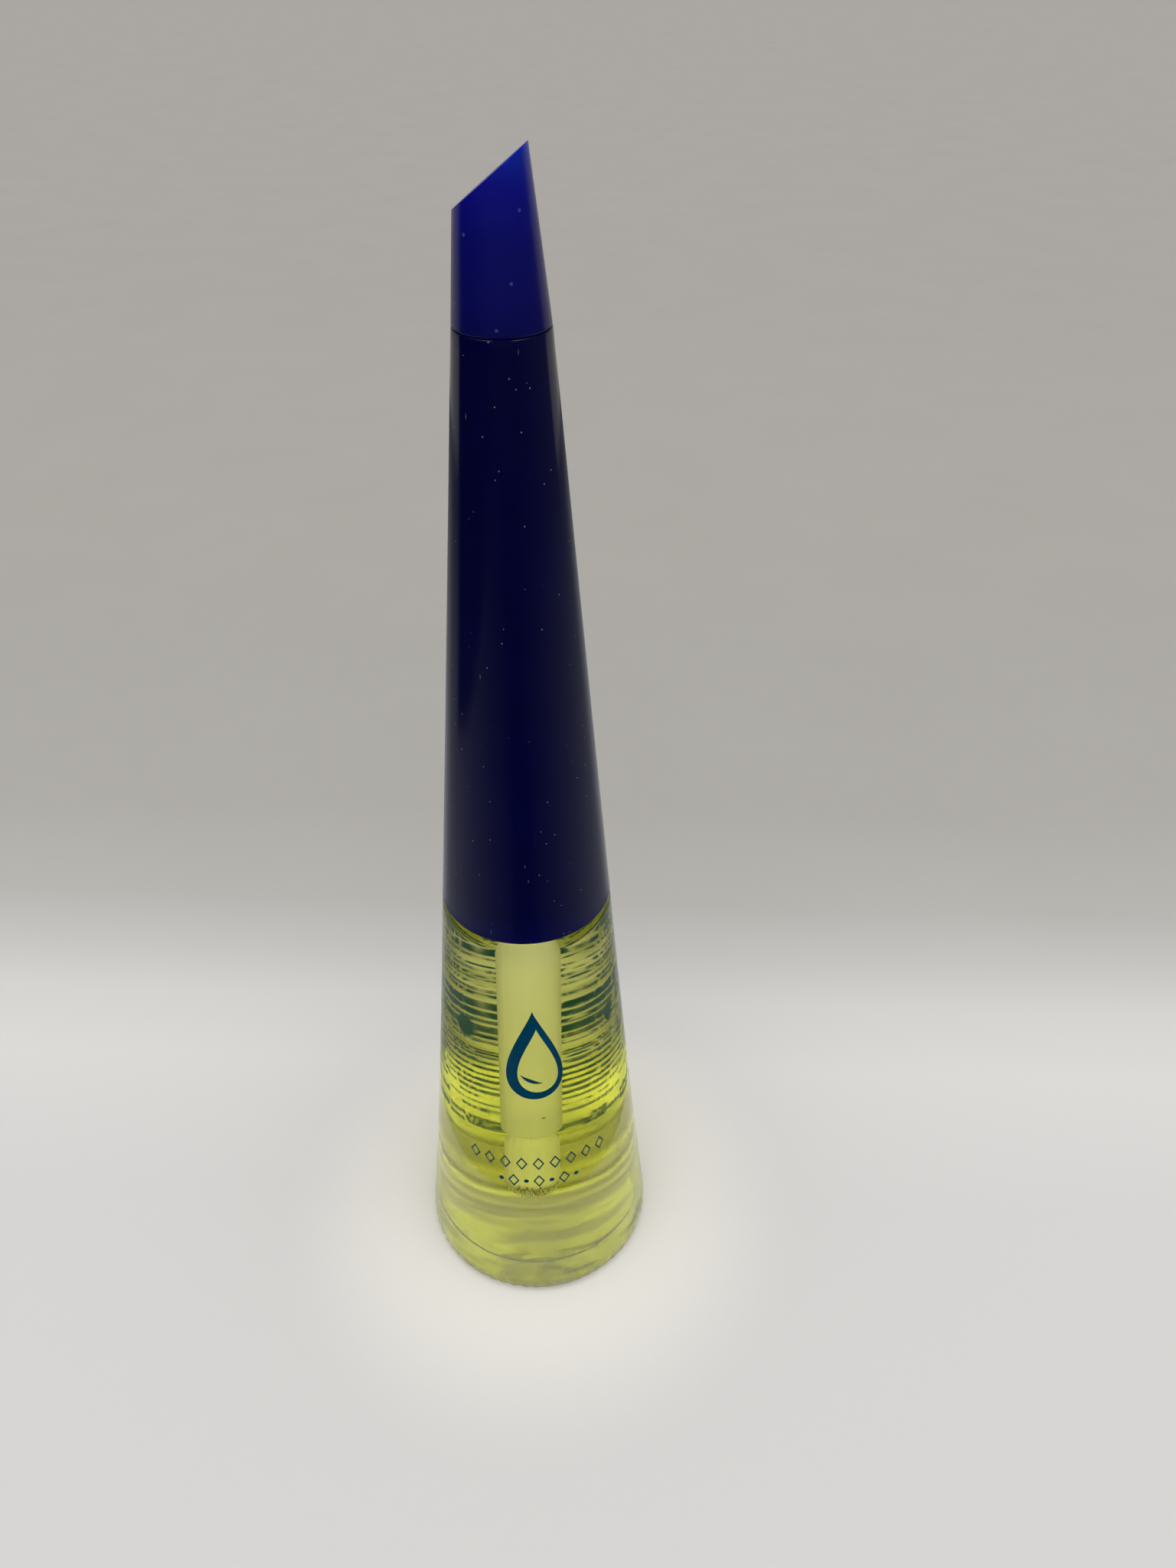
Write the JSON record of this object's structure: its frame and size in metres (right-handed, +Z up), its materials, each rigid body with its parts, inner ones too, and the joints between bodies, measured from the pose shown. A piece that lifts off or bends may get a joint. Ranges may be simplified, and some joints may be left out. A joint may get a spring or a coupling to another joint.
{
  "type": "brush-cap oil bottle",
  "caption": "Tall conical glass bottle of clear yellow oil with a long tapered screw cap, slanted translucent tip and built-in applicator brush.",
  "frame": {"origin": "centre of the bottle's standing ring, on the surface that it stands on", "axes": "+Z up along the axis of the bottle and the cap; -Y is the front, and the point of the slanted tip leans to +X"},
  "size_m": [0.028, 0.028, 0.1266],
  "materials": {
    "clear_glass": "gloss",
    "yellow_oil": "gloss",
    "clear_film": "gloss",
    "washer_foam": "matte",
    "natural_plastic": "satin",
    "bristle_filament": "satin",
    "staple_wire": "satin",
    "closure_plastic": "satin",
    "navy_plastic": "gloss",
    "blue_plastic": "gloss"
  },
  "bodies": {
    "bottle": {"glass_bottle": "clear_glass", "oil_fill": "yellow_oil", "rear_label": "clear_film"},
    "washer": {"seal_washer": "washer_foam"},
    "applicator": {"brush_stem": "natural_plastic", "bristle_tuft": "bristle_filament", "bristle_staple": "staple_wire"},
    "cap": {"inner_closure": "closure_plastic", "overcap": "navy_plastic", "cap_tip": "blue_plastic"}
  },
  "joints": [
    {"name": "cap_pull", "type": "slide", "parent": "bottle", "child": "washer", "axis": [0, 0, 1], "range_m": [0, 0.062]},
    {"name": "cap_rise", "type": "slide", "parent": "washer", "child": "applicator", "axis": [0, 0, 1], "range_m": [0, 0.00421]},
    {"name": "cap_turn", "type": "hinge", "parent": "applicator", "child": "cap", "pos_m": [0, 0, 0.07], "axis": [0, 0, 1], "range_deg": [0, 720]}
  ],
  "couplings": [
    {"joint": "cap_rise", "follows": "cap_turn", "m_per_rad": 0.00033423}
  ]
}
